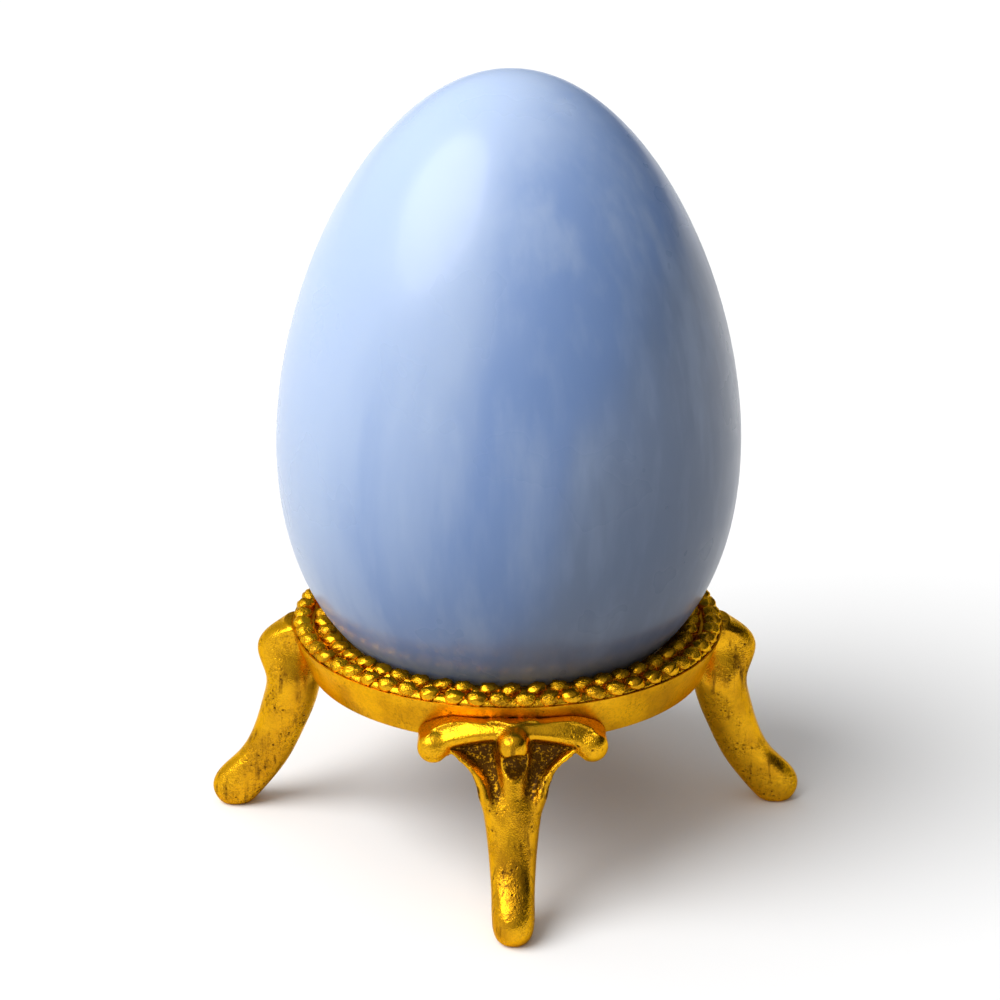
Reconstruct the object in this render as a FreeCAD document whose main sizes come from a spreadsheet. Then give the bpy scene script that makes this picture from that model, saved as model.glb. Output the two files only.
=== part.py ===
import FreeCAD, Part
import os
import Sketcher

# Decorative egg on a four-legged stand.
# A polished stone egg sits loose, blunt end down, in a flared metal collar. Two rows of beads are
# soldered on the collar's rim, and four cast cabriole legs are pegged and soldered to its wall.
# Millimetres. +Z is up and the origin is on the egg's axis, on the surface that the feet stand on.
# The front leg is at -Y.

os.makedirs("parts", exist_ok=True)

doc = FreeCAD.newDocument("egg_on_stand")
sheet = doc.addObject("Spreadsheet::Sheet", "sizes")

V = FreeCAD.Vector
UP = V(0, 0, 1)

# Driving dimensions: alias, value, what it is
SIZES = [
    ("egg_radius", 24.0, "egg, largest radius"),
    ("egg_height", 64.86, "egg, end to end"),
    ("egg_blunt_height", 26.02, "egg, from its blunt end up to its widest ring"),
    ("egg_base_z", 14.8, "egg, lowest point above the floor"),
    ("blunt_share", 0.792, "egg, fullness of the blunt end, of its radius"),
    ("blunt_side_share", 0.461, "egg, fullness of the lower side, of its blunt height"),
    ("tip_share", 0.549, "egg, fullness of the pointed end, of its radius"),
    ("tip_side_share", 0.454, "egg, fullness of the upper side, of its pointed height"),
    ("seat_gap", 0.08, "clearance between the egg and its seat"),
    ("collar_base_z", 17.2, "collar, lower edge above the floor"),
    ("collar_top_z", 21.6, "collar, upper edge above the floor"),
    ("collar_base_radius", 21.25, "collar, outer radius at its lower edge"),
    ("collar_top_radius", 22.85, "collar, outer radius at its upper edge"),
    ("collar_lip", 1.5, "collar, width of its lower edge"),
    ("seat_radius", 15.9, "collar, inner radius under the seat"),
    ("seat_z", 20.2, "collar, lower edge of the seat above the floor"),
    ("bead_radius", 1.05, "bead rows, radius of one bead"),
    ("bead_height", 1.05, "bead rows, height of one bead above its strip"),
    ("strip_width", 1.5, "bead rows, width of the strip that carries the beads"),
    ("strip_height", 0.5, "bead rows, thickness of the strip"),
    ("groove_depth", 0.3, "bead rows, how deep the strip is let into the collar"),
    ("outer_row_radius", 21.85, "outer bead row, axis of the part to its beads"),
    ("row_spacing", 2.2, "bead rows, distance between the rows"),
    ("outer_bead_count", 58, "outer bead row, number of beads"),
    ("inner_bead_count", 52, "inner bead row, number of beads"),
    ("solder_gap", 0.03, "fit of the soldered pieces in their grooves and holes"),
    ("sole_z", 0.0, "leg, height of the sole"),
    ("sole_reach", 29.6, "leg, axis of the part to the middle of the sole"),
    ("sole_depth", 3.0, "leg, length of the flat sole, in and out"),
    ("sole_width", 2.4, "leg, width of the flat sole"),
    ("toe_z", 1.4, "leg, height of the toe"),
    ("toe_reach", 29.3, "leg, axis of the part to the middle of the toe"),
    ("toe_depth", 5.4, "leg, thickness of the toe, in and out"),
    ("toe_width", 4.1, "leg, width of the toe, across"),
    ("instep_z", 3.3, "leg, height of the instep"),
    ("instep_reach", 28.3, "leg, axis of the part to the middle of the instep"),
    ("instep_depth", 6.5, "leg, thickness of the instep"),
    ("instep_width", 4.25, "leg, width of the instep"),
    ("ankle_z", 5.6, "leg, height of the ankle"),
    ("ankle_reach", 26.4, "leg, axis of the part to the middle of the ankle"),
    ("ankle_depth", 5.8, "leg, thickness of the ankle"),
    ("ankle_width", 4.5, "leg, width of the ankle"),
    ("shin_z", 9.0, "leg, height of the shin"),
    ("shin_reach", 24.6, "leg, axis of the part to the middle of the shin"),
    ("shin_depth", 5.5, "leg, thickness of the shin"),
    ("shin_width", 5.2, "leg, width of the shin"),
    ("calf_z", 12.4, "leg, height of the calf"),
    ("calf_reach", 23.4, "leg, axis of the part to the middle of the calf"),
    ("calf_depth", 5.8, "leg, thickness of the calf"),
    ("calf_width", 6.4, "leg, width of the calf"),
    ("neck_z", 15.2, "leg, height of the neck"),
    ("neck_reach", 22.9, "leg, axis of the part to the middle of the neck"),
    ("neck_depth", 6.0, "leg, thickness of the neck"),
    ("neck_width", 7.2, "leg, width of the neck"),
    ("knee_z", 18.4, "leg, height of the knee, the furthest out of its head"),
    ("knee_reach", 23.2, "leg, axis of the part to the middle of the knee"),
    ("knee_depth", 7.0, "leg, thickness of the knee"),
    ("knee_width", 5.0, "leg, width of the knee"),
    ("shoulder_z", 20.4, "leg, height of the shoulder"),
    ("shoulder_reach", 22.8, "leg, axis of the part to the middle of the shoulder"),
    ("shoulder_depth", 5.2, "leg, thickness of the shoulder"),
    ("shoulder_width", 4.8, "leg, width of the shoulder"),
    ("crown_z", 21.5, "leg, height of the crown on the collar's wall"),
    ("crown_reach", 22.6, "leg, axis of the part to the middle of the crown"),
    ("crown_depth", 2.4, "leg, thickness of the crown"),
    ("crown_width", 4.0, "leg, width of the crown"),
    ("oval_share", 0.62, "leg, fullness of its ovals, 0.55 for an ellipse"),
    ("ear_radius", 1.5, "scrolled head, radius of the ball at the end of an ear"),
    ("ear_spread", 7.85, "scrolled head, middle of the leg to the centre of an ear"),
    ("ear_reach", 22.2, "scrolled head, axis of the part to the centre of an ear, along the leg"),
    ("ear_z", 17.7, "scrolled head, height of the centre of an ear"),
    ("scroll_reach", 23.5, "scrolled head, axis of the part to its front"),
    ("scroll_z", 20.5, "scrolled head, height of its top"),
    ("crest_width", 9.6, "scrolled head, width of its level top"),
    ("flare_share", 0.45, "scrolled head, how low its underside meets an ear, of the ball's radius"),
    ("pocket_depth", 0.9, "scrolled head, depth of the hollow between its middle rib and an ear"),
    ("pocket_z", 18.9, "scrolled head, upper edge of the hollows"),
    ("pocket_end_z", 14.4, "scrolled head, lower point of the hollows"),
    ("ridge_width", 1.3, "scrolled head, width of the ridge outside a hollow"),
    ("peg_radius", 1.2, "leg, radius of the peg in the collar's wall"),
    ("peg_length", 2.6, "leg, how far the peg reaches into the collar"),
    ("peg_z", 19.3, "leg, height of the peg"),
    ("overrun", 2.0, "how far one shape runs into the next that it cuts or joins"),
]


def fill_sheet():
    for row, (alias, value, note) in enumerate(SIZES, start=1):
        sheet.set(f"A{row}", note)
        sheet.set(f"B{row}", str(value))
        sheet.setAlias(f"B{row}", alias)
    doc.recompute()


fill_sheet()


def value(expression):
    """The number that an expression on the sheet gives now."""
    return float(sheet.evalExpression(expression))


def plane(body, role):
    return next(o for o in body.Origin.OriginFeatures if o.Role == role)


def new_sketch(body, name, role):
    sketch = body.newObject("Sketcher::SketchObject", name)
    sketch.AttachmentSupport = (plane(body, role), "")
    sketch.MapMode = "FlatFace"
    return sketch


def pin_point(sketch, geometry, position, place):
    """Tie a sketch point to the two expressions of its place."""
    for kind, expression in zip(("DistanceX", "DistanceY"), place):
        index = sketch.addConstraint(
            Sketcher.Constraint(kind, -1, 1, geometry, position, value(expression)))
        label = f"{kind}_{index}"
        sketch.renameConstraint(index, label)
        sketch.setExpression(f"Constraints.{label}", expression)


def add_lines(sketch, places):
    """Straight edges from place to place. Returns the edges."""
    points = [V(value(x), value(y), 0) for x, y in places]
    edges = [sketch.addGeometry(Part.LineSegment(a, b)) for a, b in zip(points, points[1:])]
    for first, second in zip(edges, edges[1:]):
        sketch.addConstraint(Sketcher.Constraint("Coincident", first, 2, second, 1))
    for edge, place in zip(edges, places):
        pin_point(sketch, edge, 1, place)
    return edges


def add_open_lines(sketch, places):
    """Straight edges whose last place is tied too."""
    edges = add_lines(sketch, places)
    pin_point(sketch, edges[-1], 2, places[-1])


def add_curve(sketch, places):
    """A cubic curve with four poles, tied to the sheet. Returns the curve."""
    poles = [V(value(x), value(y), 0) for x, y in places]
    spline = Part.BSplineCurve()
    spline.buildFromPolesMultsKnots(poles, [4, 4], [0, 1], False, 3)
    curve = sketch.addGeometry(spline)
    for number, (pole, place) in enumerate(zip(poles, places)):
        handle = sketch.addGeometry(Part.Circle(pole, UP, 1), True)
        sketch.addConstraint(Sketcher.Constraint("Weight", handle, 1))
        sketch.addConstraint(Sketcher.Constraint(
            "InternalAlignment:Sketcher::BSplineControlPoint", handle, 3, curve, number))
        pin_point(sketch, handle, 3, place)
    return curve


def add_axis(sketch, low, high):
    """The straight edge on the axis of a turned profile, from curve end to curve end."""
    start = sketch.Geometry[low].StartPoint
    end = sketch.Geometry[high].EndPoint
    axis = sketch.addGeometry(Part.LineSegment(start, end))
    sketch.addConstraint(Sketcher.Constraint("Coincident", axis, 1, low, 1))
    sketch.addConstraint(Sketcher.Constraint("Coincident", axis, 2, high, 2))


def new_body(name):
    body = doc.addObject("PartDesign::Body", name)
    body.Label = name
    return body


def turn(body, sketch, name):
    """Turn a profile once round the part's axis."""
    turned = body.newObject("PartDesign::Revolution", name)
    turned.Profile = sketch
    turned.ReferenceAxis = (sketch, ["V_Axis"])
    turned.Angle = 360
    doc.recompute()
    return turned


def cut(name, base, tool):
    result = doc.addObject("Part::Cut", name)
    result.Base = base
    result.Tool = tool
    return result


def fuse(name, shapes):
    result = doc.addObject("Part::MultiFuse", name)
    result.Shapes = shapes
    return result


def make_egg(name, gap):
    """The egg's shape, grown all round by a gap."""
    base = f"(sizes.egg_base_z - {gap})"
    top = f"(sizes.egg_base_z + sizes.egg_height + {gap})"
    middle = "(sizes.egg_base_z + sizes.egg_blunt_height)"
    radius = f"(sizes.egg_radius + {gap})"
    body = new_body(name)
    sketch = new_sketch(body, name + "_profile", "XZ_Plane")
    low = add_curve(sketch, [
        ("0", base),
        (f"{radius} * sizes.blunt_share", base),
        (radius, f"{middle} - ({middle} - {base}) * sizes.blunt_side_share"),
        (radius, middle),
    ])
    high = add_curve(sketch, [
        (radius, middle),
        (radius, f"{middle} + ({top} - {middle}) * sizes.tip_side_share"),
        (f"{radius} * sizes.tip_share", top),
        ("0", top),
    ])
    add_axis(sketch, low, high)
    turn(body, sketch, name + "_turned")
    return body


def make_collar_blank():
    """The collar's wall and its rim with two grooves, before the seat is fitted to the egg."""
    half = "sizes.strip_width / 2 + sizes.solder_gap"
    top = "sizes.collar_top_z"
    floor = "sizes.collar_top_z - sizes.groove_depth"
    places = [
        ("sizes.collar_base_radius - sizes.collar_lip", "sizes.collar_base_z"),
        ("sizes.collar_base_radius", "sizes.collar_base_z"),
        ("sizes.collar_top_radius", top),
    ]
    for row in (OUTER_ROW, INNER_ROW):
        places += [
            (f"{row} + {half}", top),
            (f"{row} + {half}", floor),
            (f"{row} - ({half})", floor),
            (f"{row} - ({half})", top),
        ]
    places += [
        ("sizes.seat_radius", top),
        ("sizes.seat_radius", "sizes.seat_z"),
    ]
    body = new_body("collar_blank")
    sketch = new_sketch(body, "collar_profile", "XZ_Plane")
    add_lines(sketch, places + places[:1])
    turn(body, sketch, "collar_turned")
    return body


# Where the bead rows run, and the collar's outer wall at the height of the pegs
OUTER_ROW = "sizes.outer_row_radius"
INNER_ROW = "(sizes.outer_row_radius - sizes.row_spacing)"
WALL_SLOPE = ("(sizes.collar_top_radius - sizes.collar_base_radius)"
              " / (sizes.collar_top_z - sizes.collar_base_z)")
WALL_AT_PEG = f"(sizes.collar_base_radius + (sizes.peg_z - sizes.collar_base_z) * {WALL_SLOPE})"

# The front leg and the one behind it have a scrolled head, the two side legs a plain one
LEG_ANGLES = {"leg_right": 0, "leg_back": 90, "leg_left": 180, "leg_front": 270}
SCROLL_LEGS = ["leg_back", "leg_front"]


def make_peg(name, gap):
    """The round peg behind a leg's head, along +X, grown by a gap."""
    peg = doc.addObject("Part::Cylinder", name)
    peg.Placement.Rotation = FreeCAD.Rotation(V(0, 1, 0), 90)
    peg.setExpression("Radius", f"sizes.peg_radius + {gap}")
    peg.setExpression("Height", f"sizes.peg_length + {gap} + sizes.overrun / 2")
    peg.setExpression("Placement.Base.x", f"{WALL_AT_PEG} - sizes.peg_length - {gap}")
    peg.setExpression("Placement.Base.z", "sizes.peg_z")
    return peg


def turned_copy(name, shape, angle):
    """The same shape again, turned round the part's axis."""
    copy = doc.addObject("Part::Compound", name)
    copy.Links = [shape]
    copy.Placement.Rotation = FreeCAD.Rotation(UP, angle)
    copy.Label = name
    return copy


def make_collar():
    """The collar, fitted to the egg and drilled for the legs' pegs."""
    fitted = cut("collar_fitted", make_collar_blank(), make_egg("seat_space", "sizes.seat_gap"))
    drill = make_peg("peg_drill", "sizes.solder_gap")
    holes = [turned_copy("peg_hole_" + leg, drill, angle) for leg, angle in LEG_ANGLES.items()]
    collar = cut("collar", fitted, fuse("peg_holes", holes))
    collar.Label = "collar"
    return collar


# A bead has this many sides and is made in steps, each with its height and the radius at its top
# as shares of the bead's own height and radius.
BEAD_SIDES = 8
BEAD_STEP_SHARES = [(0.55, 0.84), (0.45, 0.4)]


def add_octagon(sketch, reach, radius):
    """The closed outline of a bead, round a point on the sketch's X axis."""
    around = [360 * (corner + 0.5) / BEAD_SIDES for corner in range(BEAD_SIDES)]
    places = [(f"{reach} + {radius} * cos({a})", f"{radius} * sin({a})") for a in around]
    add_lines(sketch, places + places[:1])


def add_bead(body, name, reach, low):
    """One facetted bead, in steps that draw in towards the top. Returns the steps."""
    steps = []
    radius = "sizes.bead_radius"
    for step, (height_share, radius_share) in enumerate(BEAD_STEP_SHARES):
        height = f"(sizes.bead_height * {height_share})"
        upper = f"(sizes.bead_radius * {radius_share})"
        outline = new_sketch(body, f"{name}_outline_{step}", "XY_Plane")
        outline.setExpression("AttachmentOffset.Base.z", low)
        add_octagon(outline, reach, radius)
        pad = body.newObject("PartDesign::Pad", f"{name}_step_{step}")
        pad.Profile = outline
        pad.setExpression("Length", height)
        inset = f"({radius} - {upper}) * cos({180 / BEAD_SIDES})"
        pad.setExpression("TaperAngle", f"-atan({inset} / {height})")
        steps.append(pad)
        low = f"({low} + {height})"
        radius = upper
    return steps


def make_bead_row(name, reach, count):
    """A strip bent to a ring, with beads along it, soldered in a groove of the collar's rim."""
    body = new_body(name)
    floor = "(sizes.collar_top_z - sizes.groove_depth + sizes.solder_gap)"
    top = f"({floor} + sizes.strip_height)"
    strip = new_sketch(body, name + "_strip_profile", "XZ_Plane")
    places = [
        (f"{reach} - sizes.strip_width / 2", floor),
        (f"{reach} + sizes.strip_width / 2", floor),
        (f"{reach} + sizes.strip_width / 2", top),
        (f"{reach} - sizes.strip_width / 2", top),
    ]
    add_lines(strip, places + places[:1])
    turn(body, strip, name + "_strip")
    steps = add_bead(body, name + "_bead", reach, top)
    doc.recompute()
    beads = body.newObject("PartDesign::PolarPattern", name + "_beads")
    beads.Originals = steps
    beads.Axis = (plane(body, "Z_Axis"), [""])
    beads.Angle = 360
    beads.setExpression("Occurrences", count)
    body.Tip = beads
    doc.recompute()
    return body


# Level sections of a leg from the sole up to the crown on the collar's wall
STATIONS = ["sole", "toe", "instep", "ankle", "shin", "calf", "neck", "knee", "shoulder", "crown"]


def add_section(body, station):
    """One level oval of a leg, in four quarters."""
    sketch = new_sketch(body, f"{body.Name}_{station}", "XY_Plane")
    sketch.setExpression("AttachmentOffset.Base.z", f"sizes.{station}_z")
    reach = f"sizes.{station}_reach"
    deep = f"sizes.{station}_depth / 2"
    wide = f"sizes.{station}_width / 2"
    quarters = [(1, 1, True), (-1, 1, False), (-1, -1, True), (1, -1, False)]
    for out, side, from_depth in quarters:
        tip = (f"{reach} + {deep} * {out}", "0")
        flank = (reach, f"{wide} * {side}")
        tip_pole = (tip[0], f"{wide} * {side} * sizes.oval_share")
        flank_pole = (f"{reach} + {deep} * {out} * sizes.oval_share", flank[1])
        places = [tip, tip_pole, flank_pole, flank]
        add_curve(sketch, places if from_depth else places[::-1])
    return sketch


def make_shin(name):
    """The leg from its sole to its crown: one loft through the level ovals."""
    body = new_body(name)
    sections = [add_section(body, station) for station in STATIONS]
    doc.recompute()
    loft = body.newObject("PartDesign::AdditiveLoft", name + "_loft")
    loft.Profile = sections[0]
    loft.Sections = sections[1:]
    loft.Ruled = False
    doc.recompute()
    return body


def make_ear(name, side):
    """The ball that a scroll ear ends in."""
    ear = doc.addObject("Part::Sphere", name)
    ear.setExpression("Radius", "sizes.ear_radius")
    ear.setExpression("Placement.Base.x", "sizes.ear_reach")
    ear.setExpression("Placement.Base.y", f"sizes.ear_spread * {side}")
    ear.setExpression("Placement.Base.z", "sizes.ear_z")
    return ear


def mirrored(places):
    return [(f"-({across})", up) for across, up in places]


def make_scroll(name):
    """The flared head between a leg's two ears: its front outline, as thick as the head."""
    body = new_body(name)
    outline = new_sketch(body, name + "_outline", "YZ_Plane")
    back = "sizes.collar_base_radius - sizes.overrun"
    outline.setExpression("AttachmentOffset.Base.z", back)
    foot = ("sizes.calf_width / 2", "sizes.calf_z")
    neck = ("sizes.neck_width / 2", "sizes.neck_z")
    armpit = ("sizes.ear_spread * sizes.oval_share", "sizes.ear_z - sizes.ear_radius * 0.3")
    ear_low = ("sizes.ear_spread", "sizes.ear_z - sizes.ear_radius * sizes.flare_share")
    ear_side = ("sizes.ear_spread + sizes.ear_radius * 0.98", "sizes.ear_z")
    crest = ("sizes.crest_width / 2", "sizes.scroll_z")
    flare = [foot, neck, armpit, ear_low]
    shoulder = [
        ear_side,
        (ear_side[0], "(sizes.ear_z + sizes.scroll_z) / 2"),
        ("(sizes.crest_width / 2 + sizes.ear_spread) / 2", "sizes.scroll_z"),
        crest,
    ]
    add_curve(outline, flare)
    add_open_lines(outline, [ear_low, ear_side])
    add_curve(outline, shoulder)
    add_open_lines(outline, [crest] + mirrored([crest]))
    add_curve(outline, mirrored(shoulder[::-1]))
    add_open_lines(outline, mirrored([ear_side, ear_low]))
    add_curve(outline, mirrored(flare[::-1]))
    add_open_lines(outline, mirrored([foot]) + [foot])
    pad = body.newObject("PartDesign::Pad", name + "_pad")
    pad.Profile = outline
    pad.setExpression("Length", f"sizes.scroll_reach - ({back})")
    doc.recompute()
    add_hollow(body, name + "_hollow_left", 1)
    add_hollow(body, name + "_hollow_right", -1)
    return body


def add_hollow(body, name, side):
    """The three-cornered hollow between the middle rib and the ridge that runs up to an ear."""
    sketch = new_sketch(body, name + "_outline", "YZ_Plane")
    sketch.setExpression("AttachmentOffset.Base.z", "sizes.scroll_reach - sizes.pocket_depth")
    places = [
        (f"sizes.knee_width / 4 * {side}", "sizes.pocket_z"),
        (f"sizes.ear_spread * {side}", "sizes.pocket_z - sizes.ridge_width / 2"),
        (f"(sizes.ear_spread - sizes.ridge_width) * {side}", "sizes.ear_z"),
        (f"(sizes.neck_width / 2 - sizes.ridge_width / 2) * {side}", "sizes.pocket_end_z"),
    ]
    if side < 0:
        places = places[::-1]
    add_lines(sketch, places + places[:1])
    hollow = body.newObject("PartDesign::Pocket", name)
    hollow.Profile = sketch
    hollow.Reversed = True
    hollow.setExpression("Length", "sizes.pocket_depth + sizes.overrun")
    doc.recompute()


def make_collar_space():
    """What a leg leaves free for the collar, from the collar's lower edge upwards."""
    slope = f"({WALL_SLOPE})"
    cone = doc.addObject("Part::Cone", "collar_space")
    cone.setExpression("Radius1", "sizes.collar_base_radius + sizes.solder_gap")
    cone.setExpression("Height", "sizes.collar_top_z - sizes.collar_base_z + sizes.overrun")
    cone.setExpression("Radius2", f"Radius1 + Height * {slope}")
    cone.setExpression("Placement.Base.z", "sizes.collar_base_z - sizes.solder_gap")
    return cone


def make_castings():
    """The plain leg and the scroll leg as they are cast, pointing along +X."""
    plain = make_shin("leg_shin")
    scroll = fuse("scroll_rough", [
        plain,
        make_scroll("leg_scroll"),
        make_ear("leg_ear_near", -1),
        make_ear("leg_ear_far", 1),
    ])
    space = make_collar_space()
    peg = make_peg("leg_peg", "0")
    return {
        "plain": fuse("plain_casting", [cut("plain_fitted", plain, space), peg]),
        "scroll": fuse("scroll_casting", [cut("scroll_fitted", scroll, space), peg]),
    }


def make_parts():
    parts = [
        make_egg("egg", "0"),
        make_collar(),
        make_bead_row("outer_bead_row", OUTER_ROW, "sizes.outer_bead_count"),
        make_bead_row("inner_bead_row", INNER_ROW, "sizes.inner_bead_count"),
    ]
    castings = make_castings()
    for leg, angle in LEG_ANGLES.items():
        kind = "scroll" if leg in SCROLL_LEGS else "plain"
        parts.append(turned_copy(leg, castings[kind], angle))
    doc.recompute()
    return parts


def check(parts):
    for item in doc.Objects:
        if "Invalid" in item.State or "Error" in item.State:
            raise RuntimeError(item.Label + " failed")
    for part in parts:
        if part.Shape.isNull() or not part.Shape.isValid():
            raise RuntimeError(part.Label + " has no valid shape")


def export(parts):
    for part in parts:
        part.Shape.exportStep(f"parts/{part.Label}.step")
        print(part.Label, "solids", len(part.Shape.Solids), "volume", round(part.Shape.Volume, 1))


pieces = make_parts()
check(pieces)
export(pieces)
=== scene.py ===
# %% [markdown]
# # A stone egg on a gilded stand
# A polished egg of cloudy blue stone sits loose, blunt end down, in a beaded and gilded collar on
# four cast legs. The construction comes from the CAD model. This lesson softens the castings as a
# mould and a polishing wheel would, strings the beads, and gives each piece the real one's finish.

# %% Load the construction
import bpy
import math
import random
import numpy as np
from mathutils import Matrix, Vector


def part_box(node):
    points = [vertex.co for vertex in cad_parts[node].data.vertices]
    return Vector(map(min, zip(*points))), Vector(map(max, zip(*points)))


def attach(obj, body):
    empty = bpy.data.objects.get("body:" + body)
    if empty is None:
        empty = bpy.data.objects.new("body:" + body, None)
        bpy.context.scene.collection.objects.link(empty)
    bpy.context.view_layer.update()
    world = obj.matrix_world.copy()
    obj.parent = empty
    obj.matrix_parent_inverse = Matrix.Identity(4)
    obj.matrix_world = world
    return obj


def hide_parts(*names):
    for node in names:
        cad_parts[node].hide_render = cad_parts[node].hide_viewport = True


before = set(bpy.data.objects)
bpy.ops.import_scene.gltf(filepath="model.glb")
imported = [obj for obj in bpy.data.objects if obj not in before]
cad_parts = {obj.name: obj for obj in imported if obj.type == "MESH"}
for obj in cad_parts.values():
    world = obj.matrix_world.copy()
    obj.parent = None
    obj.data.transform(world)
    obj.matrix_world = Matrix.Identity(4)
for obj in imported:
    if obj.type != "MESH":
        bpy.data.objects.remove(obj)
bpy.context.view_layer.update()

MM = 0.001

# %% [markdown]
# ## Camera
# The photograph was taken from a little above and quite close, so the front foot looks larger than
# the side feet. The camera's place is a direction and a distance from a point on the egg's axis.

# %% Camera
CAMERA_DISTANCE = 233.0 * MM
CAMERA_ELEVATION = math.radians(19.9)
CAMERA_SWING = math.radians(-1.5)
CAMERA_ROLL = math.radians(0.4)
CAMERA_TARGET = Vector((0, 0, 34.85 * MM))
CAMERA_LENS = 80.1
CAMERA_SENSOR = 36.0
CAMERA_SHIFT = -0.0083
NEAREST_SEEN = 0.01
FARTHEST_SEEN = 50.0


def add_camera():
    data = bpy.data.cameras.new("camera")
    data.lens = CAMERA_LENS
    data.sensor_width = CAMERA_SENSOR
    data.shift_x = CAMERA_SHIFT
    data.clip_start = NEAREST_SEEN
    data.clip_end = FARTHEST_SEEN
    camera = bpy.data.objects.new("camera", data)
    bpy.context.scene.collection.objects.link(camera)
    back = Vector((
        math.sin(CAMERA_SWING) * math.cos(CAMERA_ELEVATION),
        -math.cos(CAMERA_SWING) * math.cos(CAMERA_ELEVATION),
        math.sin(CAMERA_ELEVATION),
    ))
    turn = (-back).to_track_quat("-Z", "Y").to_matrix().to_4x4()
    roll = Matrix.Rotation(CAMERA_ROLL, 4, "Z")
    camera.matrix_world = Matrix.Translation(CAMERA_TARGET + back * CAMERA_DISTANCE) @ turn @ roll
    bpy.context.scene.camera = camera
    return camera


camera = add_camera()
print("camera at", [round(c, 4) for c in camera.matrix_world.translation])

# %% [markdown]
# ## Node helpers
# Every finish below is a small tree of noises, ranges and colour mixes. These short functions add
# one node each and give back its output, so that the finishes read as a list of steps.

# %% Node helpers
def add_node(tree, kind, **values):
    """A node with its sockets or settings given by name."""
    node = tree.nodes.new(kind)
    for name, setting in values.items():
        if name in node.inputs:
            node.inputs[name].default_value = setting
        else:
            setattr(node, name, setting)
    return node


def add_math(tree, operation, first, second):
    """One step of arithmetic on two numbers or outputs."""
    node = tree.nodes.new("ShaderNodeMath")
    node.operation = operation
    for socket, source in zip(node.inputs, (first, second)):
        if isinstance(source, (int, float)):
            socket.default_value = source
        else:
            tree.links.new(source, socket)
    return node.outputs[0]


def add_range(tree, source, low, high, to_low=0.0, to_high=1.0):
    """A soft step from one value to another while the source goes from low to high."""
    node = add_node(tree, "ShaderNodeMapRange", interpolation_type="SMOOTHSTEP")
    ends = {"From Min": low, "From Max": high, "To Min": to_low, "To Max": to_high}
    for name, setting in ends.items():
        node.inputs[name].default_value = setting
    tree.links.new(source, node.inputs["Value"])
    return node.outputs["Result"]


def add_noise(tree, where, scale, detail):
    """Cloudy noise at a place."""
    node = add_node(tree, "ShaderNodeTexNoise", Scale=scale, Detail=detail)
    tree.links.new(where, node.inputs["Vector"])
    return node.outputs["Fac"]


def add_mix(tree, share, first, second):
    """A colour that goes from the first to the second as the share goes from 0 to 1."""
    node = tree.nodes.new("ShaderNodeMix")
    node.data_type = "RGBA"
    tree.links.new(share, node.inputs["Factor"])
    for name, source in (("A", first), ("B", second)):
        socket = next(s for s in node.inputs if s.name == name and s.type == "RGBA")
        if isinstance(source, tuple):
            socket.default_value = source
        else:
            tree.links.new(source, socket)
    return next(s for s in node.outputs if s.type == "RGBA")


# %% [markdown]
# ## Studio
# One broad lamp from the upper left is the key light: a sun lamp, because it lights the pale floor
# evenly out to the edge of every view. The room is brightest on the lamp's side, like a large
# window, and dim on the other, which gives polished metal its dark side. The floor, and a low wall
# where it ends, look white to the camera and in the metal. The soft light that the floor sends
# back up is only that of a grey table.

# %% Floor, lamp and room
FLOOR_SIZE = 12.0
FLOOR_COLOUR = (0.93, 0.93, 0.93, 1)
FLOOR_BOUNCE = (0.16, 0.16, 0.16, 1)
FLOOR_ROUGHNESS = 0.9
KEY_STRENGTH = 2.6
KEY_SOFTNESS = math.radians(48)
KEY_DIRECTION = Vector((0.66, 0.28, -0.84))
ROOM_BRIGHTEST = (-0.68, -0.12, 0.72)
ROOM_BRIGHT = 0.80
ROOM_DIM = 0.03
ROOM_FALLOFF = (-0.25, 0.95)
WALL_TOP = math.sin(math.radians(5))
WALL_FADE = math.sin(math.radians(8))
WHITE = (1.0, 1.0, 1.0, 1)


def add_seen(tree):
    """1 for a ray from the camera or a mirrored or refracted one, 0 for one that only lights."""
    path = tree.nodes.new("ShaderNodeLightPath")
    seen = add_math(tree, "MAXIMUM", path.outputs["Is Camera Ray"], path.outputs["Is Glossy Ray"])
    return add_math(tree, "MAXIMUM", seen, path.outputs["Is Transmission Ray"])


def add_floor():
    bpy.ops.object.select_all(action="DESELECT")
    bpy.ops.mesh.primitive_plane_add(size=FLOOR_SIZE)
    floor = bpy.context.object
    floor.name = "floor"
    material = bpy.data.materials.new("pale_floor")
    material.use_nodes = True
    tree = material.node_tree
    shader = tree.nodes["Principled BSDF"]
    colour = add_mix(tree, add_seen(tree), FLOOR_BOUNCE, FLOOR_COLOUR)
    tree.links.new(colour, shader.inputs["Base Color"])
    shader.inputs["Roughness"].default_value = FLOOR_ROUGHNESS
    shader.inputs["Specular IOR Level"].default_value = 0.0
    floor.data.materials.append(material)


def add_key():
    data = bpy.data.lights.new("key", "SUN")
    data.energy = KEY_STRENGTH
    data.angle = KEY_SOFTNESS
    key = bpy.data.objects.new("key", data)
    key.rotation_mode = "QUATERNION"
    key.rotation_quaternion = KEY_DIRECTION.to_track_quat("-Z", "Y")
    bpy.context.scene.collection.objects.link(key)


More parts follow.
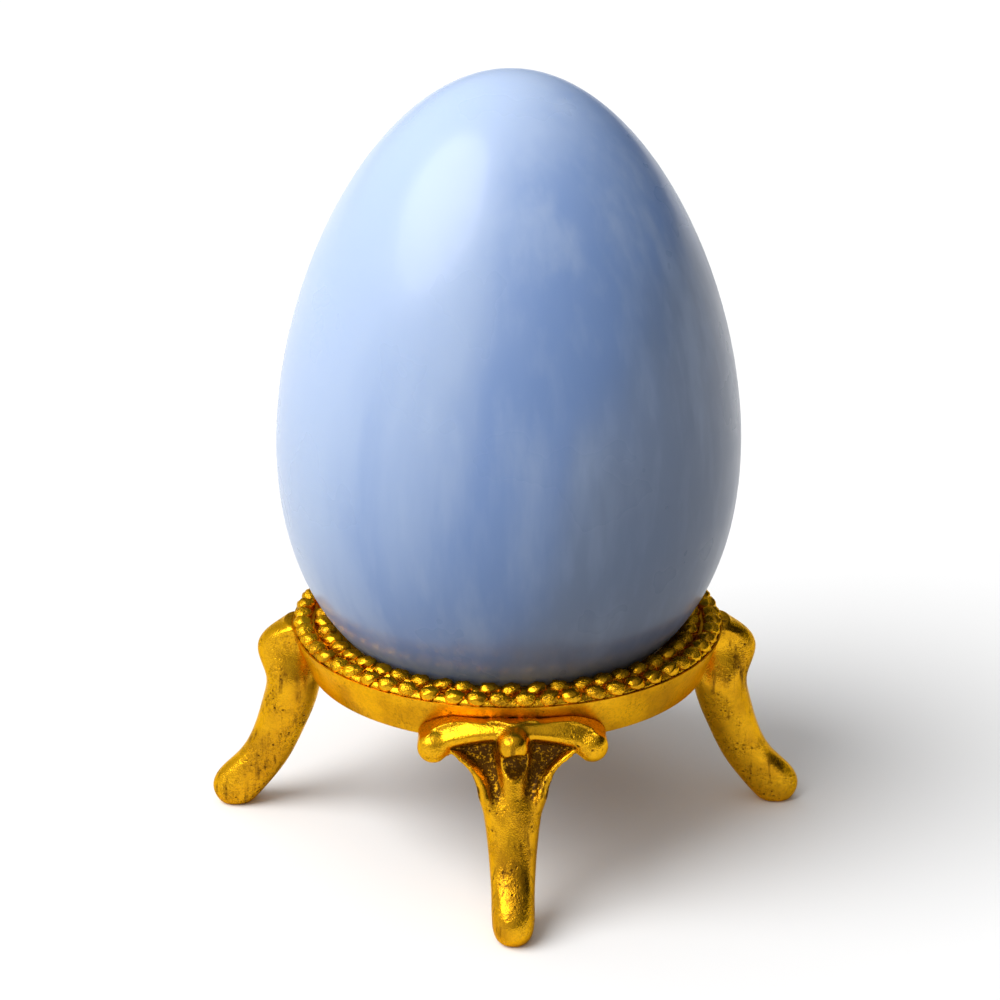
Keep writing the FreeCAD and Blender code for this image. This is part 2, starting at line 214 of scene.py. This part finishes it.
def set_room():
    """Light from all round, brightest at the upper left, and a low white wall past the floor."""
    world = bpy.data.worlds.new("studio")
    world.use_nodes = True
    tree = world.node_tree
    direction = tree.nodes.new("ShaderNodeTexCoord")
    toward = tree.nodes.new("ShaderNodeVectorMath")
    toward.operation = "DOT_PRODUCT"
    toward.inputs[1].default_value = Vector(ROOM_BRIGHTEST).normalized()
    tree.links.new(direction.outputs["Generated"], toward.inputs[0])
    light = add_range(tree, toward.outputs["Value"], *ROOM_FALLOFF, ROOM_DIM, ROOM_BRIGHT)
    height = tree.nodes.new("ShaderNodeSeparateXYZ")
    tree.links.new(direction.outputs["Generated"], height.inputs["Vector"])
    wall = add_range(tree, height.outputs["Z"], WALL_TOP, WALL_FADE, 1.0, 0.0)
    wall = add_math(tree, "MULTIPLY", wall, add_seen(tree))
    colour = add_mix(tree, wall, light, WHITE)
    tree.links.new(colour, tree.nodes["Background"].inputs["Color"])
    bpy.context.scene.world = world


add_floor()
add_key()
set_room()
bpy.context.scene.view_settings.view_transform = "Standard"
print("floor", FLOOR_SIZE, "m; key lamp", KEY_STRENGTH)

# %% [markdown]
# ## Copies that can be shaped
# A CAD piece is never changed. Where its surface is to be softened, a copy is made, its loose
# triangles are merged, and the copy takes the place of the piece and rides on the same body.

# %% Helpers for shaping
STAND = "stand"
GILT = "gilt_metal"
MERGE_DISTANCE = 0.002 * MM


def only(thing):
    """Select one object alone, ready for an operator."""
    bpy.ops.object.select_all(action="DESELECT")
    thing.select_set(True)
    bpy.context.view_layer.objects.active = thing


def copy_of(name, new_name):
    """A merged copy of a CAD piece."""
    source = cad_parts[name]
    piece = bpy.data.objects.new(new_name, source.data.copy())
    bpy.context.scene.collection.objects.link(piece)
    only(piece)
    bpy.ops.object.mode_set(mode="EDIT")
    bpy.ops.mesh.select_all(action="SELECT")
    bpy.ops.mesh.remove_doubles(threshold=MERGE_DISTANCE)
    bpy.ops.object.mode_set(mode="OBJECT")
    return piece


def apply_modifier(piece, kind, **settings):
    """Add a modifier with these settings and apply it at once."""
    only(piece)
    modifier = piece.modifiers.new(kind.lower(), kind)
    for name, setting in settings.items():
        setattr(modifier, name, setting)
    bpy.ops.object.modifier_apply(modifier=modifier.name)


def finish_piece(piece, material, slot, body, *nodes):
    """Dress a finished piece and put it in the place of its CAD pieces."""
    piece.data.materials.clear()
    piece.data.materials.append(material)
    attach(piece, body)
    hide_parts(*nodes)
    print(piece.name, "faces", len(piece.data.polygons))


# %% [markdown]
# ## Hollows painted in shade
# The gilt finish paints shade into the hollows of a casting as a darker brown, standing in for the
# shade that falls there. Each vertex of a casting is compared with the average of those around it:
# where that average lies further out, the place is a hollow. The result is kept on the mesh as an
# attribute that the gilt finish reads.

# %% Measure the hollows of a mesh
HOLLOW_SEEN = 0.3


def mark_hollows(piece, rounds, full_depth, sunk):
    """Store how hollow each place is, 0 to 1, as the attribute hollow."""
    mesh = piece.data
    count = len(mesh.vertices)
    places = np.empty(count * 3)
    mesh.vertices.foreach_get("co", places)
    places = places.reshape(-1, 3)
    normals = np.empty(count * 3)
    mesh.vertices.foreach_get("normal", normals)
    normals = normals.reshape(-1, 3)
    ends = np.empty(len(mesh.edges) * 2, dtype=int)
    mesh.edges.foreach_get("vertices", ends)
    first, second = ends.reshape(-1, 2).T
    neighbours = np.bincount(first, minlength=count) + np.bincount(second, minlength=count)
    smooth = places.copy()
    for _ in range(rounds):
        total = np.zeros_like(smooth)
        for axis in range(3):
            total[:, axis] = (np.bincount(first, smooth[second, axis], count)
                              + np.bincount(second, smooth[first, axis], count))
        smooth = total / np.maximum(neighbours, 1)[:, None]
    depth = ((smooth - places) * normals).sum(axis=1)
    hollow = np.maximum(np.clip(depth / full_depth, 0, 1), sunk)
    mesh.attributes.new("hollow", "FLOAT", "POINT").data.foreach_set("value", hollow)
    print(piece.name, "hollow share", round(float((hollow > HOLLOW_SEEN).mean()), 3))


# %% [markdown]
# ## Cast and gilded surface
# The metal was cast in sand, gilded and left partly unpolished: fine grain everywhere, stronger in
# patches, small pits, upright streaks of wear, and brown where the gilding is thin. Shade is also
# painted into the hollows as a darker brown. One node group works out the grain's height and where
# the surface is dark, both its own brown and painted shade. It is used by every gilt material with
# its own values.

# %% The cast surface group
GRAIN_SIZE = 0.16 * MM
PATCH_SIZE = 2.6 * MM
PIT_SPACING = 0.75 * MM
STREAK_WIDTH = 0.6 * MM
STREAK_SQUASH = (1, 1, 0.12)
STREAK_SPACING = PATCH_SIZE / 0.6
COARSE_SHARE = 0.35
PATCH_STEP = (0.42, 0.62)
PIT_STEP = (0.10, 0.24, 1.0, 0.0)
SPECK_STEP = (0.76, 0.98, 1.0, 0.0)
GLINT_STEP = (0.92, 1.06, 1.0, 0.35)
# How hollow a place must be for its painted shade to start and to be full.
HOLLOW_SHADE_STEP = (0.10, 0.60)
STREAK_STEP = (0.49, 0.70)
STREAK_PLACE_STEP = (0.42, 0.56)
GRAIN_MIDDLE = 0.9
GRAIN_EVERYWHERE = 0.42
COARSE_WEIGHT = 0.8
PIT_DEPTH = 0.9
SPECK_DARK = 0.38


def make_cast_group():
    """Height and dark share of a cast surface."""
    group = bpy.data.node_groups.new("cast_surface", "ShaderNodeTree")
    for name, start in (("Grain", 1.0), ("Pits", 1.0), ("Streaks", 0.0), ("Hollow", 0.0)):
        socket = group.interface.new_socket(name, in_out="INPUT", socket_type="NodeSocketFloat")
        socket.default_value = start
    group.interface.new_socket("Place", in_out="INPUT", socket_type="NodeSocketVector")
    for name in ("Height", "Dark"):
        group.interface.new_socket(name, in_out="OUTPUT", socket_type="NodeSocketFloat")
    given = group.nodes.new("NodeGroupInput").outputs
    result = group.nodes.new("NodeGroupOutput").inputs
    place = given["Place"]
    fine = add_noise(group, place, 1 / GRAIN_SIZE, 3.0)
    coarse = add_noise(group, place, COARSE_SHARE / GRAIN_SIZE, 2.0)
    patch = add_range(group, add_noise(group, place, 1 / PATCH_SIZE, 2.0), *PATCH_STEP)
    cells = add_node(group, "ShaderNodeTexVoronoi", Scale=1 / PIT_SPACING)
    group.links.new(place, cells.inputs["Vector"])
    pit = add_range(group, cells.outputs["Distance"], *PIT_STEP)
    pit = add_math(group, "MULTIPLY", pit, add_math(group, "MULTIPLY", patch, given["Pits"]))
    rough = add_math(group, "ADD", patch, given["Hollow"])
    rough = add_math(group, "MULTIPLY", rough, given["Grain"])
    rough = add_math(group, "ADD", rough, GRAIN_EVERYWHERE)
    grain = add_math(group, "ADD", add_math(group, "MULTIPLY", coarse, COARSE_WEIGHT), fine)
    height = add_math(group, "SUBTRACT", grain, GRAIN_MIDDLE)
    height = add_math(group, "MULTIPLY", height, rough)
    height = add_math(group, "SUBTRACT", height, add_math(group, "MULTIPLY", pit, PIT_DEPTH))
    speck = add_range(group, grain, *SPECK_STEP)
    speck = add_math(group, "MULTIPLY", speck, add_math(group, "MINIMUM", rough, 1.0))
    # Painted shade in the hollows: dark there, most where the grain dips and less on its raised
    # points.
    glint = add_range(group, grain, *GLINT_STEP)
    hollow_shade = add_math(group, "MULTIPLY", add_range(group, given["Hollow"], *HOLLOW_SHADE_STEP), glint)
    dark = add_math(group, "ADD", add_math(group, "MULTIPLY", speck, SPECK_DARK), hollow_shade)
    drawn = add_node(group, "ShaderNodeMapping", Scale=STREAK_SQUASH)
    group.links.new(place, drawn.inputs["Vector"])
    streak = add_noise(group, drawn.outputs["Vector"], 1 / STREAK_WIDTH, 4.0)
    streak = add_range(group, streak, *STREAK_STEP)
    where = add_noise(group, place, 1 / STREAK_SPACING, 1.0)
    where = add_range(group, where, *STREAK_PLACE_STEP)
    where = add_math(group, "MULTIPLY", where, given["Streaks"])
    streak = add_math(group, "MULTIPLY", streak, where)
    dark = add_math(group, "ADD", dark, streak)
    dark = add_math(group, "MINIMUM", add_math(group, "ADD", dark, pit), 1.0)
    group.links.new(height, result["Height"])
    group.links.new(dark, result["Dark"])
    return group


cast_group = make_cast_group()
print("group", cast_group.name, "nodes", len(cast_group.nodes))

# %% [markdown]
# ## Gilt
# Deep yellow gold, a little darker and redder in broad patches, that goes brown and dull in pits,
# and is darkened brown and dull as painted shade in the hollows. A trace of clear lacquer lies over
# it. There are three finishes: the legs have the most pits and streaks of wear, the band was turned
# and has the least grain, and the beads have the strongest grain and the brightest polish.

# %% Gilt finishes
GOLD = (0.83, 0.415, 0.008, 1)
GOLD_WARM = (0.62, 0.29, 0.006, 1)
GOLD_EDGE = (1.0, 0.78, 0.25, 1)
# One brown for pits, streaks and thin gilding, and also for the painted shade in the hollows.
BROWN_AND_SHADE = (0.10, 0.040, 0.003, 1)
TONE_SIZE = 4.5 * MM
TONE_STEP = (0.40, 0.66)
DULL_ROUGHNESS = 0.62
LACQUER = 0.06
LACQUER_ROUGHNESS = 0.20


def make_gilt(name, grain, pits, streaks, roughness, relief):
    """A gilt finish with its own share of grain, pits and streaks."""
    material = bpy.data.materials.new(name)
    material.use_nodes = True
    tree = material.node_tree
    shader = tree.nodes["Principled BSDF"]
    place = tree.nodes.new("ShaderNodeTexCoord").outputs["Object"]
    cast = tree.nodes.new("ShaderNodeGroup")
    cast.node_tree = cast_group
    cast.inputs["Grain"].default_value = grain
    cast.inputs["Pits"].default_value = pits
    cast.inputs["Streaks"].default_value = streaks
    tree.links.new(place, cast.inputs["Place"])
    hollow = add_node(tree, "ShaderNodeAttribute", attribute_name="hollow")
    tree.links.new(hollow.outputs["Fac"], cast.inputs["Hollow"])
    tone = add_range(tree, add_noise(tree, place, 1 / TONE_SIZE, 2.0), *TONE_STEP)
    colour = add_mix(tree, tone, GOLD, GOLD_WARM)
    # The dark share turns the gold brown: pits, streaks and thin gilding, and painted shade in the
    # hollows.
    colour = add_mix(tree, cast.outputs["Dark"], colour, BROWN_AND_SHADE)
    tree.links.new(colour, shader.inputs["Base Color"])
    rough = add_range(tree, cast.outputs["Dark"], 0.0, 1.0, roughness, DULL_ROUGHNESS)
    tree.links.new(rough, shader.inputs["Roughness"])
    bump = add_node(tree, "ShaderNodeBump", Distance=relief, Strength=1.0)
    tree.links.new(cast.outputs["Height"], bump.inputs["Height"])
    tree.links.new(bump.outputs["Normal"], shader.inputs["Normal"])
    shader.inputs["Metallic"].default_value = 1.0
    shader.inputs["Specular Tint"].default_value = GOLD_EDGE
    shader.inputs["Coat Weight"].default_value = LACQUER
    shader.inputs["Coat Roughness"].default_value = LACQUER_ROUGHNESS
    return material


gilt_cast = make_gilt(
    "gilt_cast", grain=0.7, pits=0.7, streaks=0.60, roughness=0.20, relief=0.064 * MM)
gilt_band = make_gilt(
    "gilt_band", grain=0.35, pits=0.4, streaks=0.15, roughness=0.33, relief=0.040 * MM)
gilt_beads = make_gilt(
    "gilt_beads", grain=0.9, pits=0.4, streaks=0.3, roughness=0.17, relief=0.085 * MM)
print("gilt finishes", gilt_cast.name, gilt_band.name, gilt_beads.name)

# %% [markdown]
# ## Legs
# The four castings come from the CAD model with sharp corners where one form meets the next. A
# fine voxel remesh gives an even skin, and smoothing rounds every corner as casting and polishing
# do.
#
# The front and back castings carry a scrolled head. On the real one it was carved in the pattern:
# a roll curls over to a ball at each end, a rib with a round knob stands in the middle, and thin
# edges run from the balls down to the shin. The fields between them are sunk. That face is written
# here as a height for each place on the leg's front, and the skin is pressed in or out to meet it.

# %% Carved face of the scrolled leg
# Heights and reaches are in millimetres, the reach being measured from the egg's axis. A ball is
# its place to the side, its height, the reach of its middle and its radius. The eye, an oval dent
# under the knob, is its place to the side, its height, its two half widths and its depth.
FACE_LEVELS = [11.0, 12.0, 13.0, 14.0, 15.0, 16.0, 17.0, 18.0, 19.0, 20.0, 21.0]
RIB_REACH = [26.8, 26.5, 26.1, 25.8, 25.5, 25.3, 25.5, 25.4, 24.9, 24.5, 24.1]
FIELD_REACH = [26.0, 25.8, 25.4, 24.7, 24.0, 23.4, 23.0, 22.9, 22.9, 23.2, 23.4]
EDGE_PLACE = [2.2, 2.4, 2.6, 2.8, 3.3, 4.2, 5.4, 6.9, 8.6, 9.6, 10.5]
EDGE_RISE = [0.1, 0.35, 0.6, 0.8, 0.9, 1.0, 1.0, 0.5, 0.0, 0.0, 0.0]
RIB_FALL = 0.62
EDGE_FALL = 2.4
ROLL_TOP = 19.45
ROLL_DROOP = 0.022
ROLL_REACH = 24.7
ROLL_LEAN = 0.06
ROLL_FALL = 0.95
ROLL_END = 6.3
ROLL_END_FALL = 0.35
KNOB = (0.0, 18.7, 25.2, 1.5)
EAR = (7.7, 17.7, 22.9, 1.7)
EYE = (0.2, 16.7, 1.1, 1.45, 0.95)
EYE_RIM = 1.4
# How strongly the eye's dent is painted dark, as painted shade.
EYE_SHADE = 1.6
BALL_FALL = 2.0
BLEND = 3.4
BLEND_REACH = 24
LEDGE = 20.3
LEDGE_KEEP = 0.2
FACE_BACK = 21.6
FACE_FOOT = 10.8
FACE_FADE = 2.5
THINNEST = 0.05
SUNK_FOOT = 12.4
SUNK_FOOT_FADE = 1.5
SUNK_TOP = 19.6
SUNK_TOP_FADE = 0.8
SUNK_GAIN = 1.5
SUNK_OFFSET = 0.2
FACING_OUT = -0.35
FAR_IN_FRONT = -60


def ball_reach(across, height, centre):
    """Reach of a ball's front, falling away quickly outside it."""
    far = (across - centre[0]) ** 2 + (height - centre[1]) ** 2
    inside = np.sqrt(np.maximum(centre[3] ** 2 - far, 0))
    return centre[2] + inside - np.maximum(far - centre[3] ** 2, 0) * BALL_FALL


def face_reach(side, height):
    """Reach of the carved face at a place to the side and a height, and its share of painted shade
    as sunk field or eye.
    """
    across = np.abs(side)
    rib = np.interp(height, FACE_LEVELS, RIB_REACH) - RIB_FALL * across ** 2
    field = np.interp(height, FACE_LEVELS, FIELD_REACH)
    edge_at = np.interp(height, FACE_LEVELS, EDGE_PLACE)
    edge = field + np.interp(height, FACE_LEVELS, EDGE_RISE) - EDGE_FALL * (across - edge_at) ** 2
    roll_at = ROLL_TOP - ROLL_DROOP * across ** 2
    roll = ROLL_REACH - ROLL_LEAN * across - ROLL_FALL * (height - roll_at) ** 2
    roll = roll - ROLL_END_FALL * np.maximum(across - ROLL_END, 0) ** 2
    knob = ball_reach(across, height, KNOB)
    ear = ball_reach(across, height, EAR)
    forms = [rib, field, edge, roll, knob, ear]
    shares = [np.exp(BLEND * (form - BLEND_REACH)) for form in forms]
    reach = np.log(sum(shares)) / BLEND + BLEND_REACH
    eye = ((side - EYE[0]) / EYE[2]) ** 2 + ((height - EYE[1]) / EYE[3]) ** 2
    eye = np.clip(EYE_RIM - eye, 0, 1)
    # The second value is painted shade for the sunk fields and the eye.
    above_foot = np.clip((height - SUNK_FOOT) / SUNK_FOOT_FADE, 0, 1)
    below_top = np.clip((SUNK_TOP - height) / SUNK_TOP_FADE, 0, 1)
    sunk = np.clip(SUNK_GAIN * shares[1] / sum(shares) - SUNK_OFFSET, 0, 1)
    sunk = sunk * (above_foot * below_top)
    return reach - EYE[4] * eye, np.maximum(sunk, np.clip(EYE_SHADE * eye, 0, 1))


def press_face(leg):
    """Move the skin of the head, front most and back least, until it meets the carved face."""
    mesh = leg.data
    places = np.empty(len(mesh.vertices) * 3)
    mesh.vertices.foreach_get("co", places)
    places = places.reshape(-1, 3) / MM
    fade = np.clip((places[:, 2] - FACE_FOOT) / FACE_FADE, 0, 1)
    for number in np.nonzero((fade > 0) & (-places[:, 1] > FACE_BACK))[0]:
        side, depth, height = places[number]
        start = Vector((side, FAR_IN_FRONT, height)) * MM
        hit, front, _, _ = leg.ray_cast(start, Vector((0, 1, 0)))
        now = -front.y / MM if hit else -depth
        share = (-depth - FACE_BACK) / max(now - FACE_BACK, THINNEST)
        wanted, _ = face_reach(side, height)
        places[number, 1] = depth - fade[number] * min(share, 1) * (wanted - now)
        places[number, 2] = min(height, LEDGE + LEDGE_KEEP * (height - LEDGE))
    mesh.vertices.foreach_set("co", (places * MM).ravel())
    mesh.update()


# The sunk fields and the eye are painted dark as shade, through the hollow attribute.
def sunk_share(leg, turn):
    """How far each vertex of a scrolled leg lies in a sunk field, 0 to 1."""
    if turn is None:
        return 0.0
    front = math.cos(math.radians(turn))
    places = np.array([vertex.co for vertex in leg.data.vertices]) / MM * (front, front, 1)
    faces_out = np.array([vertex.normal.y for vertex in leg.data.vertices]) * front < FACING_OUT
    _, sunk = face_reach(places[:, 0], places[:, 2])
    return sunk * faces_out


# %% [markdown]
# The plain legs are only remeshed and smoothed. A scrolled leg is first turned to the front, given
# a coarser skin, pressed to the carved face and turned back. The remesh after that evens out the
# skin where pressing has stretched it.

# %% Soften the legs
LEG_TURNS = {"leg_front": 0, "leg_right": None, "leg_back": 180, "leg_left": None}
LEG_VOXEL = 0.12 * MM
PRESSED_VOXEL = LEG_VOXEL * 1.3
HOLLOW_ROUNDS = 45
HOLLOW_DEPTH = 0.26 * MM


def soften_leg(name):
    """Replace a CAD leg by a smooth casting, with the carved face where it has one."""
    leg = copy_of(name, name + "_casting")
    turn = LEG_TURNS[name]
    if turn is not None:
        spin = Matrix.Rotation(math.radians(turn), 4, "Z")
        leg.data.transform(spin)
        apply_modifier(leg, "REMESH", mode="VOXEL", voxel_size=PRESSED_VOXEL, use_smooth_shade=True)
        apply_modifier(leg, "SMOOTH", factor=0.5, iterations=3)
        press_face(leg)
        leg.data.transform(spin.inverted())
    apply_modifier(leg, "REMESH", mode="VOXEL", voxel_size=LEG_VOXEL, use_smooth_shade=True)
    apply_modifier(leg, "SMOOTH", factor=0.5, iterations=7)
    # The hollows found here, with the sunk fields, take painted shade in the gilt finish.
    mark_hollows(leg, HOLLOW_ROUNDS, HOLLOW_DEPTH, sunk_share(leg, turn))
    finish_piece(leg, gilt_cast, GILT, STAND, name)


for leg_name in LEG_TURNS:
    soften_leg(leg_name)

# %% [markdown]
# ## Collar
# The band was turned, so it only needs its edges broken. A small bevel on every sharp edge catches
# the light as the real edge does.

# %% Break the collar's edges
EASED_EDGE = 0.16 * MM
EASED_ANGLE = math.radians(35)
SHADED_ANGLE = math.radians(40)


def ease_collar():
    """Replace the CAD collar by one with broken edges."""
    collar = copy_of("collar", "collar_band")
    apply_modifier(collar, "BEVEL", width=EASED_EDGE, segments=3, limit_method="ANGLE",
                   angle_limit=EASED_ANGLE)
    only(collar)
    bpy.ops.object.shade_smooth_by_angle(angle=SHADED_ANGLE)
    finish_piece(collar, gilt_band, GILT, STAND, "collar")


ease_collar()

# %% [markdown]
# ## Bead rows
# On the real collar the beads are small cast lumps, no two quite alike, sunk in a soft strip of
# solder. One bead is modelled from a small ball, and each copy is turned, stretched and shifted a
# little. The strip between them is a half-sunk ring.

# %% String the beads
# The spacing is a share of one step along the row, the strip's lump a share of its thickness, and
# the other shares are of the bead's radius. The twist and the tilt are in radians.
BEAD_RADIUS = 1.05 * MM
OUTER_BEADS = 58
INNER_BEADS = 52
SPACING_SHARE = 0.07
BEAD_SHAPE = (0.96, 1.12, 0.80)
BEAD_LUMP_SHARE = 0.11
BEAD_SINK_SHARE = 0.86
BEAD_SIZES = (0.94, 1.02)
BEAD_TWIST = 0.5
BEAD_TILT = 0.3
BEAD_INSET = 0.05 * MM
BEAD_DROP = 0.07 * MM
STRIP_SINK_SHARE = 1.26
STRIP_THICK_SHARE = 0.74
STRIP_SHAPE = (1, 1, 0.75)
STRIP_LUMP_SHARE = 0.08


def model_bead(radius):
    """One bead: a ball, flattened and made slightly lumpy."""
    bpy.ops.object.select_all(action="DESELECT")
    bpy.ops.mesh.primitive_ico_sphere_add(subdivisions=3, radius=radius)
    bead = bpy.context.object
    bpy.ops.object.mode_set(mode="EDIT")
    bpy.ops.mesh.select_all(action="SELECT")
    bpy.ops.transform.resize(value=BEAD_SHAPE)
    bpy.ops.transform.vertex_random(offset=radius * BEAD_LUMP_SHARE, uniform=0.6, normal=0.6, seed=3)
    bpy.ops.mesh.vertices_smooth(factor=0.4, repeat=1)
    bpy.ops.object.mode_set(mode="OBJECT")
    bpy.ops.object.shade_smooth()
    return bead


def add_strip(reach, level, thick):
    """The ring of solder that the beads sit in."""
    bpy.ops.object.select_all(action="DESELECT")
    bpy.ops.mesh.primitive_torus_add(major_radius=reach, minor_radius=thick,
                                     major_segments=160, minor_segments=14,
                                     location=(0, 0, level))
    strip = bpy.context.object
    bpy.ops.object.mode_set(mode="EDIT")
    bpy.ops.mesh.select_all(action="SELECT")
    bpy.ops.transform.resize(value=STRIP_SHAPE, center_override=(0, 0, level))
    bpy.ops.transform.vertex_random(offset=thick * STRIP_LUMP_SHARE, uniform=0.5, normal=0.5, seed=5)
    bpy.ops.object.mode_set(mode="OBJECT")
    bpy.ops.object.transform_apply(location=True, rotation=True, scale=True)
    bpy.ops.object.shade_smooth()
    return strip


def string_row(name, count, seed):
    """A row of beads in the place of a CAD row."""
    low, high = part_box(name)
    reach = (high[0] - low[0]) / 2 - BEAD_RADIUS
    level = high[2] - BEAD_RADIUS * BEAD_SINK_SHARE
    rng = random.Random(seed)
    bead = model_bead(BEAD_RADIUS)
    strip_level = high[2] - BEAD_RADIUS * STRIP_SINK_SHARE
    parts = [add_strip(reach, strip_level, BEAD_RADIUS * STRIP_THICK_SHARE)]
    for number in range(count):
        angle = 2 * math.pi * (number + rng.uniform(-SPACING_SHARE, SPACING_SHARE)) / count
        one = bpy.data.objects.new(f"{name}_{number}", bead.data.copy())
        bpy.context.scene.collection.objects.link(one)
        size = Vector([rng.uniform(*BEAD_SIZES) for _ in range(3)])
        twist = Matrix.Rotation(rng.uniform(-BEAD_TWIST, BEAD_TWIST), 4, "Z")
        spin = twist @ Matrix.Rotation(rng.uniform(-BEAD_TILT, BEAD_TILT), 4, "X")
        inset = rng.uniform(0, BEAD_INSET)
        shift = Vector((reach - inset, 0, level - rng.uniform(0, BEAD_DROP)))
        one.data.transform(Matrix.Rotation(angle, 4, "Z") @ Matrix.Translation(shift) @ spin
                           @ Matrix.Diagonal(size).to_4x4())
        parts.append(one)
    bpy.data.objects.remove(bead)
    bpy.ops.object.select_all(action="DESELECT")
    for part in parts:
        part.select_set(True)
    bpy.context.view_layer.objects.active = parts[0]
    bpy.ops.object.join()
    row = bpy.context.object
    row.name = name + "_cast"
    finish_piece(row, gilt_beads, GILT, STAND, name)


string_row("outer_bead_row", OUTER_BEADS, seed=11)
string_row("inner_bead_row", INNER_BEADS, seed=23)

# %% [markdown]
# ## Stone
# The egg is a pale blue, cloudy stone with a soft polish. Light and shade are painted into its
# colour: pale at the left and the top, where the lamp falls, clear blue in the middle, and a greyish
# blue painted shade at the right, with a wavy edge that leans a little. Clouds hang in it in upright
# bands, so the noise that mixes the colours is stretched upwards. A little light goes into the
# stone, and a few pinholes are left in the polish.

# %% Stone finish
STONE_BLUE = (0.25, 0.39, 0.73, 1)
# The pale blue is painted light at the left and top, and also the colour of the clouds and wisps.
STONE_PALE_AND_LIT = (0.47, 0.60, 0.85, 1)
# The greyish blue is painted shade at the egg's right.
STONE_SHADE_GREY = (0.27, 0.365, 0.57, 1)
CLOUD_SQUASH = (1, 1, 0.22)
LIGHT_EDGE_WAVE_SIZE = 11 * MM
LIGHT_EDGE_WAVE = 20 * MM
LIGHT_EDGE_MIDDLE = 42 * MM
LIGHT_EDGE_LEAN = 0.44
LIT_TO_BLUE = (-19 * MM, -3 * MM)
BLUE_TO_SHADE = (1 * MM, 12 * MM)
CLOUD_SIZE = 5 * MM
CLOUD_STEP = (0.46, 0.72)
CLOUD_SHARE = 0.50
WISP_SIZE = 1.6 * MM
WISP_STEP = (0.45, 0.72)
WISP_SHARE = 0.16
PINHOLE_SPACING = 6.5 * MM
PINHOLE_STEP = (0.012, 0.028, 0.0, 1.0)
PINHOLE_DEPTH = 0.08 * MM
PINHOLE_STRENGTH = 0.6
POLISH_SIZE = 9 * MM
POLISH_STEP = (0.35, 0.70, 0.27, 0.36)
POLISH_COAT = 0.16
POLISH_COAT_ROUGHNESS = 0.12
GLOW_SHARE = 0.12
GLOW_COLOUR = (0.5, 0.7, 1.0)
GLOW_DEPTH = 3 * MM
STONE_IOR = 1.42


def make_stone():
    """Painted light at the left and top and painted shade at the right, clouds and wisps of three
    blues, with pinholes in the polish.
    """
    material = bpy.data.materials.new("blue_stone")
    material.use_nodes = True
    tree = material.node_tree
    shader = tree.nodes["Principled BSDF"]
    place = tree.nodes.new("ShaderNodeTexCoord").outputs["Object"]
    stretch = add_node(tree, "ShaderNodeMapping", Scale=CLOUD_SQUASH)
    tree.links.new(place, stretch.inputs["Vector"])
    upright = stretch.outputs["Vector"]
    axes = tree.nodes.new("ShaderNodeSeparateXYZ")
    tree.links.new(place, axes.inputs["Vector"])
    # Painted light and shade: pale where the lamp falls at the left and top, greyish blue painted
    # shade at the right, along a wavy edge.
    wave = add_math(tree, "SUBTRACT", add_noise(tree, upright, 1 / LIGHT_EDGE_WAVE_SIZE, 3.0), 0.5)
    wave = add_math(tree, "MULTIPLY", wave, LIGHT_EDGE_WAVE)
    lit_side = add_math(tree, "ADD", axes.outputs["X"], wave)
    raised = add_math(tree, "SUBTRACT", axes.outputs["Z"], LIGHT_EDGE_MIDDLE)
    lit_side = add_math(tree, "SUBTRACT", lit_side, add_math(tree, "MULTIPLY", raised, LIGHT_EDGE_LEAN))
    colour = add_mix(tree, add_range(tree, lit_side, *LIT_TO_BLUE), STONE_PALE_AND_LIT, STONE_BLUE)
    colour = add_mix(tree, add_range(tree, lit_side, *BLUE_TO_SHADE), colour, STONE_SHADE_GREY)
    clouds = add_range(tree, add_noise(tree, upright, 1 / CLOUD_SIZE, 4.0), *CLOUD_STEP)
    wisps = add_range(tree, add_noise(tree, upright, 1 / WISP_SIZE, 4.0), *WISP_STEP)
    colour = add_mix(tree, add_math(tree, "MULTIPLY", clouds, CLOUD_SHARE), colour, STONE_PALE_AND_LIT)
    colour = add_mix(tree, add_math(tree, "MULTIPLY", wisps, WISP_SHARE), colour, STONE_PALE_AND_LIT)
    tree.links.new(colour, shader.inputs["Base Color"])
    pinholes = add_node(tree, "ShaderNodeTexVoronoi", Scale=1 / PINHOLE_SPACING)
    tree.links.new(place, pinholes.inputs["Vector"])
    hole = add_range(tree, pinholes.outputs["Distance"], *PINHOLE_STEP)
    bump = add_node(tree, "ShaderNodeBump", Distance=PINHOLE_DEPTH, Strength=PINHOLE_STRENGTH)
    tree.links.new(hole, bump.inputs["Height"])
    tree.links.new(bump.outputs["Normal"], shader.inputs["Normal"])
    polish = add_range(tree, add_noise(tree, place, 1 / POLISH_SIZE, 3.0), *POLISH_STEP)
    tree.links.new(polish, shader.inputs["Roughness"])
    shader.inputs["Coat Weight"].default_value = POLISH_COAT
    shader.inputs["Coat Roughness"].default_value = POLISH_COAT_ROUGHNESS
    shader.inputs["Subsurface Weight"].default_value = GLOW_SHARE
    shader.inputs["Subsurface Radius"].default_value = GLOW_COLOUR
    shader.inputs["Subsurface Scale"].default_value = GLOW_DEPTH
    shader.inputs["IOR"].default_value = STONE_IOR
    return material


stone = make_stone()
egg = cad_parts["egg"]
egg.data.materials.clear()
egg.data.materials.append(stone)
print("egg faces", len(egg.data.polygons))
